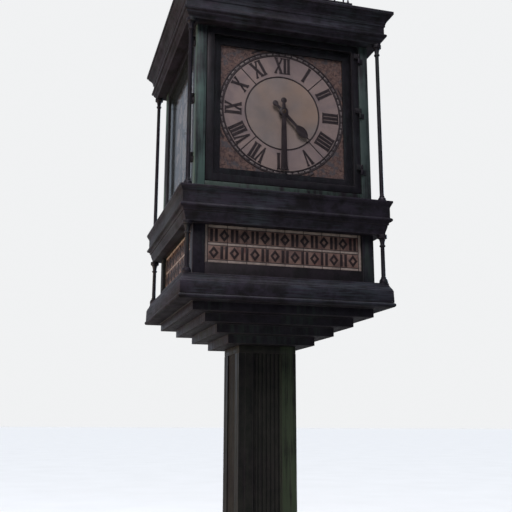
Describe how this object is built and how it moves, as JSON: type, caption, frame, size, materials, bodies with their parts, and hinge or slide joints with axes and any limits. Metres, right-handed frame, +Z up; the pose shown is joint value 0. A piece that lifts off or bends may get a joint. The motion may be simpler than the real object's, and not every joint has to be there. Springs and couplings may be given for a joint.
{
  "type": "street clock",
  "caption": "Four-sided post clock: glazed dial chamber over a leaded-glass panel tier, on a stepped corbel, fluted square post and plinth, with driven hands and hinged doors.",
  "frame": {"origin": "centre of the footing plate's underside, on the ground", "axes": "+Z up; the front dial faces -Y; +X to the right as seen from the front"},
  "size_m": [1.328, 1.328, 4.256],
  "materials": {
    "dark_bronze": "cast and sheet bronze, patinated dark brown with purple cast",
    "verdigris_bronze": "bronze sheet with grey-green verdigris",
    "steel": "galvanised, dull",
    "art_glass": "opalescent leaded glass in lead came",
    "cover_glass": "clear polished plate",
    "hand_black": "black enamel on sheet metal",
    "gear_brass": "machined",
    "lamp_glass": "white diffuse tube"
  },
  "bodies": {
    "root": {"footing_plate": "steel", "plinth": "dark_bronze", "plinth_cap": "dark_bronze", "tie_rods": "steel", "tie_rod_nuts": "steel", "post_casing": "dark_bronze", "corbel": "dark_bronze", "base_ledge": "dark_bronze", "lower_piers": "verdigris_bronze", "frame_rails": "dark_bronze", "sign_panels": "art_glass", "lower_columns": "dark_bronze", "mid_ledge": "dark_bronze", "chamber_floor": "steel", "upper_piers": "verdigris_bronze", "dial_bezels": "dark_bronze", "upper_columns": "dark_bronze", "cornice": "dark_bronze", "roof": "dark_bronze", "cresting": "dark_bronze", "hinge_halves": "dark_bronze", "lamp_mast": "steel", "lamps": "lamp_glass", "dial_front": "art_glass", "dial_right": "art_glass", "dial_back": "art_glass", "dial_left": "art_glass", "movement_front": "steel", "movement_right": "steel", "movement_back": "steel", "movement_left": "steel"},
    "access_door": {"access_door": "dark_bronze"},
    "door_front": {"door_front": "dark_bronze", "door_glass_front": "cover_glass"},
    "minute_front": {"minute_arbor_front": "gear_brass", "minute_hand_front": "hand_black"},
    "hour_front": {"hour_wheel_front": "gear_brass", "hour_hand_front": "hand_black"},
    "stud_front": {"minute_wheel_front": "gear_brass"},
    "door_right": {"door_right": "dark_bronze", "door_glass_right": "cover_glass"},
    "minute_right": {"minute_arbor_right": "gear_brass", "minute_hand_right": "hand_black"},
    "hour_right": {"hour_wheel_right": "gear_brass", "hour_hand_right": "hand_black"},
    "stud_right": {"minute_wheel_right": "gear_brass"},
    "door_back": {"door_back": "dark_bronze", "door_glass_back": "cover_glass"},
    "minute_back": {"minute_arbor_back": "gear_brass", "minute_hand_back": "hand_black"},
    "hour_back": {"hour_wheel_back": "gear_brass", "hour_hand_back": "hand_black"},
    "stud_back": {"minute_wheel_back": "gear_brass"},
    "door_left": {"door_left": "dark_bronze", "door_glass_left": "cover_glass"},
    "minute_left": {"minute_arbor_left": "gear_brass", "minute_hand_left": "hand_black"},
    "hour_left": {"hour_wheel_left": "gear_brass", "hour_hand_left": "hand_black"},
    "stud_left": {"minute_wheel_left": "gear_brass"}
  },
  "joints": [
    {"name": "access_door_hinge", "type": "hinge", "parent": "root", "child": "access_door", "pos_m": [-0.154, 0.3085, 0.365], "axis": [0, 0, 1], "range_deg": [0, 110]},
    {"name": "door_front_hinge", "type": "hinge", "parent": "root", "child": "door_front", "pos_m": [0.475, -0.5435, 3.388], "axis": [0, 0, 1], "range_deg": [0, 110]},
    {"name": "door_right_hinge", "type": "hinge", "parent": "root", "child": "door_right", "pos_m": [0.5435, 0.475, 3.388], "axis": [0, 0, 1], "range_deg": [0, 110]},
    {"name": "door_back_hinge", "type": "hinge", "parent": "root", "child": "door_back", "pos_m": [-0.475, 0.5435, 3.388], "axis": [0, 0, 1], "range_deg": [0, 110]},
    {"name": "door_left_hinge", "type": "hinge", "parent": "root", "child": "door_left", "pos_m": [-0.5435, -0.475, 3.388], "axis": [0, 0, 1], "range_deg": [0, 110]},
    {"name": "minute_front_turn", "type": "hinge", "parent": "root", "child": "minute_front", "pos_m": [0, -0.5, 3.388], "axis": [0, 1, 0], "continuous": true},
    {"name": "hour_front_turn", "type": "hinge", "parent": "root", "child": "hour_front", "pos_m": [0, -0.5, 3.388], "axis": [0, 1, 0], "continuous": true},
    {"name": "stud_front_turn", "type": "hinge", "parent": "root", "child": "stud_front", "pos_m": [0, -0.5, 3.433], "axis": [0, 1, 0], "continuous": true},
    {"name": "minute_right_turn", "type": "hinge", "parent": "root", "child": "minute_right", "pos_m": [0.5, 0, 3.388], "axis": [-1, 0, 0], "continuous": true},
    {"name": "hour_right_turn", "type": "hinge", "parent": "root", "child": "hour_right", "pos_m": [0.5, 0, 3.388], "axis": [-1, 0, 0], "continuous": true},
    {"name": "stud_right_turn", "type": "hinge", "parent": "root", "child": "stud_right", "pos_m": [0.5, 0, 3.433], "axis": [-1, 0, 0], "continuous": true},
    {"name": "minute_back_turn", "type": "hinge", "parent": "root", "child": "minute_back", "pos_m": [0, 0.5, 3.388], "axis": [0, -1, 0], "continuous": true},
    {"name": "hour_back_turn", "type": "hinge", "parent": "root", "child": "hour_back", "pos_m": [0, 0.5, 3.388], "axis": [0, -1, 0], "continuous": true},
    {"name": "stud_back_turn", "type": "hinge", "parent": "root", "child": "stud_back", "pos_m": [0, 0.5, 3.433], "axis": [0, -1, 0], "continuous": true},
    {"name": "minute_left_turn", "type": "hinge", "parent": "root", "child": "minute_left", "pos_m": [-0.5, 0, 3.388], "axis": [1, 0, 0], "continuous": true},
    {"name": "hour_left_turn", "type": "hinge", "parent": "root", "child": "hour_left", "pos_m": [-0.5, 0, 3.388], "axis": [1, 0, 0], "continuous": true},
    {"name": "stud_left_turn", "type": "hinge", "parent": "root", "child": "stud_left", "pos_m": [-0.5, 0, 3.433], "axis": [1, 0, 0], "continuous": true}
  ],
  "couplings": [
    {"joint": "hour_front_turn", "follows": "minute_front_turn", "ratio": 0.083333},
    {"joint": "stud_front_turn", "follows": "minute_front_turn", "ratio": -0.33333},
    {"joint": "minute_right_turn", "follows": "minute_front_turn", "ratio": 1},
    {"joint": "hour_right_turn", "follows": "minute_front_turn", "ratio": 0.083333},
    {"joint": "stud_right_turn", "follows": "minute_front_turn", "ratio": -0.33333},
    {"joint": "minute_back_turn", "follows": "minute_front_turn", "ratio": 1},
    {"joint": "hour_back_turn", "follows": "minute_front_turn", "ratio": 0.083333},
    {"joint": "stud_back_turn", "follows": "minute_front_turn", "ratio": -0.33333},
    {"joint": "minute_left_turn", "follows": "minute_front_turn", "ratio": 1},
    {"joint": "hour_left_turn", "follows": "minute_front_turn", "ratio": 0.083333},
    {"joint": "stud_left_turn", "follows": "minute_front_turn", "ratio": -0.33333}
  ]
}
